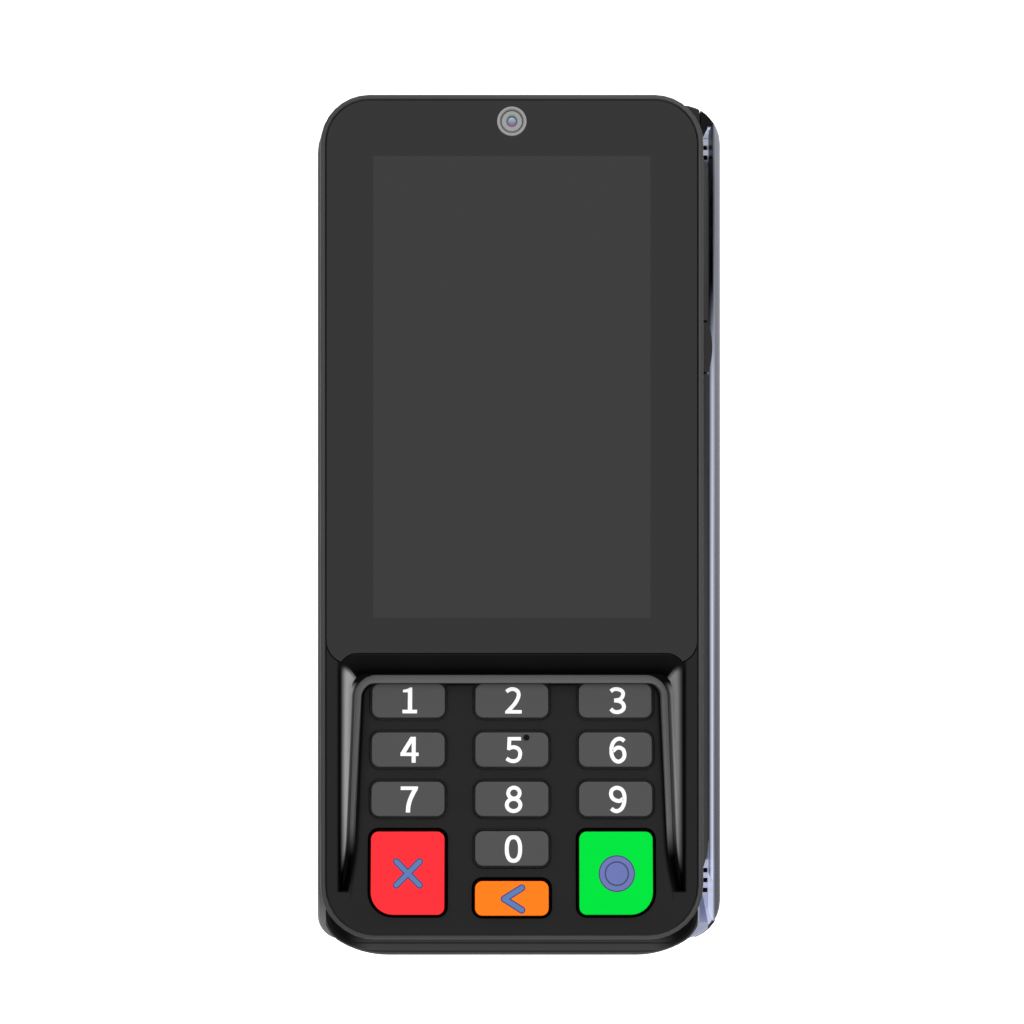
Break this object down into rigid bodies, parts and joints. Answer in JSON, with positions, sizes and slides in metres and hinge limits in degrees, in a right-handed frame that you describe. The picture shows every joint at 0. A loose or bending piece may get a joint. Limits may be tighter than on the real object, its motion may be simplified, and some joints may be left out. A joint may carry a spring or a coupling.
{
  "type": "card payment terminal",
  "caption": "Hand-held card payment terminal with a tall glass display and camera, a sunken colour-coded keypad, a chip-card mouth in the nose and a magnetic swipe slot down one side.",
  "frame": {"origin": "middle of the whole box at the level of the feet, with the terminal lying on its back", "axes": "+Z out of the screen, +Y along the terminal towards the camera end, +X towards the side with the swipe slot"},
  "size_m": [0.0772, 0.1618, 0.0229],
  "materials": {
    "housing_silver": "satin",
    "frame_dark": "matte",
    "panel_black": "satin",
    "cover_glass": "glossy",
    "display_back": "matte",
    "steel": "brushed",
    "copper": "bare",
    "camera_silver": "satin",
    "lens_glass": "glossy",
    "black_plastic": "matte",
    "grey_rubber": "matte",
    "green_board": "satin",
    "contact_gold": "polished",
    "liner_pale": "satin",
    "head_grey": "satin",
    "battery_grey": "matte",
    "black_rubber": "matte",
    "key_grey": "satin",
    "key_red": "satin",
    "key_green": "satin",
    "key_orange": "satin"
  },
  "bodies": {
    "terminal": {"rear_housing": "housing_silver", "front_frame": "frame_dark", "nose_bezel": "frame_dark", "keypad_panel": "panel_black", "display_glass": "cover_glass", "display_module": "display_back", "mid_frame": "steel", "antenna_loop": "copper", "camera_ring": "camera_silver", "camera_cone": "camera_silver", "camera_lens": "lens_glass", "camera_module": "black_plastic", "keypad_membrane": "grey_rubber", "keypad_board": "green_board", "snap_domes": "steel", "main_board": "green_board", "shield_cans": "steel", "coin_cell": "steel", "speaker": "black_plastic", "vibration_motor": "steel", "usb_port": "steel", "power_switch": "steel", "card_reader": "black_plastic", "card_guides": "steel", "reader_cover": "black_plastic", "card_contacts": "contact_gold", "swipe_rail": "housing_silver", "swipe_guide": "frame_dark", "swipe_liner": "liner_pale", "swipe_pad": "black_plastic", "head_spring": "steel", "battery_tub": "black_plastic", "battery": "battery_grey", "housing_screws": "steel", "rubber_feet": "black_rubber"},
    "key_1_body": {"key_1": "key_grey"},
    "key_2_body": {"key_2": "key_grey"},
    "key_3_body": {"key_3": "key_grey"},
    "key_4_body": {"key_4": "key_grey"},
    "key_5_body": {"key_5": "key_grey"},
    "key_6_body": {"key_6": "key_grey"},
    "key_7_body": {"key_7": "key_grey"},
    "key_8_body": {"key_8": "key_grey"},
    "key_9_body": {"key_9": "key_grey"},
    "key_0_body": {"key_0": "key_grey"},
    "key_back_body": {"key_back": "key_orange"},
    "key_cancel_body": {"key_cancel": "key_red"},
    "key_ok_body": {"key_ok": "key_green"},
    "mag_head_body": {"mag_head": "head_grey"},
    "power_button_body": {"power_button": "frame_dark"},
    "battery_door_body": {"battery_door": "housing_silver"}
  },
  "joints": [
    {"name": "key_1_press", "type": "slide", "parent": "terminal", "child": "key_1_body", "axis": [0, -0.0993, -0.9951], "range_m": [0, 0.0007], "stiffness_N_per_m": 1200, "springref_m": -0.0002},
    {"name": "key_2_press", "type": "slide", "parent": "terminal", "child": "key_2_body", "axis": [0, -0.0993, -0.9951], "range_m": [0, 0.0007], "stiffness_N_per_m": 1200, "springref_m": -0.0002},
    {"name": "key_3_press", "type": "slide", "parent": "terminal", "child": "key_3_body", "axis": [0, -0.0993, -0.9951], "range_m": [0, 0.0007], "stiffness_N_per_m": 1200, "springref_m": -0.0002},
    {"name": "key_4_press", "type": "slide", "parent": "terminal", "child": "key_4_body", "axis": [0, -0.0993, -0.9951], "range_m": [0, 0.0007], "stiffness_N_per_m": 1200, "springref_m": -0.0002},
    {"name": "key_5_press", "type": "slide", "parent": "terminal", "child": "key_5_body", "axis": [0, -0.0993, -0.9951], "range_m": [0, 0.0007], "stiffness_N_per_m": 1200, "springref_m": -0.0002},
    {"name": "key_6_press", "type": "slide", "parent": "terminal", "child": "key_6_body", "axis": [0, -0.0993, -0.9951], "range_m": [0, 0.0007], "stiffness_N_per_m": 1200, "springref_m": -0.0002},
    {"name": "key_7_press", "type": "slide", "parent": "terminal", "child": "key_7_body", "axis": [0, -0.0993, -0.9951], "range_m": [0, 0.0007], "stiffness_N_per_m": 1200, "springref_m": -0.0002},
    {"name": "key_8_press", "type": "slide", "parent": "terminal", "child": "key_8_body", "axis": [0, -0.0993, -0.9951], "range_m": [0, 0.0007], "stiffness_N_per_m": 1200, "springref_m": -0.0002},
    {"name": "key_9_press", "type": "slide", "parent": "terminal", "child": "key_9_body", "axis": [0, -0.0993, -0.9951], "range_m": [0, 0.0007], "stiffness_N_per_m": 1200, "springref_m": -0.0002},
    {"name": "key_0_press", "type": "slide", "parent": "terminal", "child": "key_0_body", "axis": [0, -0.0993, -0.9951], "range_m": [0, 0.0007], "stiffness_N_per_m": 1200, "springref_m": -0.0002},
    {"name": "key_back_press", "type": "slide", "parent": "terminal", "child": "key_back_body", "axis": [0, -0.0993, -0.9951], "range_m": [0, 0.0007], "stiffness_N_per_m": 1200, "springref_m": -0.0002},
    {"name": "key_cancel_press", "type": "slide", "parent": "terminal", "child": "key_cancel_body", "axis": [0, -0.0993, -0.9951], "range_m": [0, 0.0007], "stiffness_N_per_m": 1500, "springref_m": -0.0002},
    {"name": "key_ok_press", "type": "slide", "parent": "terminal", "child": "key_ok_body", "axis": [0, -0.0993, -0.9951], "range_m": [0, 0.0007], "stiffness_N_per_m": 1500, "springref_m": -0.0002},
    {"name": "mag_head_press", "type": "slide", "parent": "terminal", "child": "mag_head_body", "axis": [-1, 0, 0], "range_m": [0, 0.0005], "stiffness_N_per_m": 1500, "springref_m": -0.0002},
    {"name": "power_press", "type": "slide", "parent": "terminal", "child": "power_button_body", "axis": [1, 0, 0], "range_m": [0, 0.0004], "stiffness_N_per_m": 1500, "springref_m": -0.0002},
    {"name": "door_hinge", "type": "hinge", "parent": "terminal", "child": "battery_door_body", "pos_m": [-0.00135, 0.0436, 0.0008], "axis": [1, 0, 0], "range_deg": [0, 30]}
  ]
}
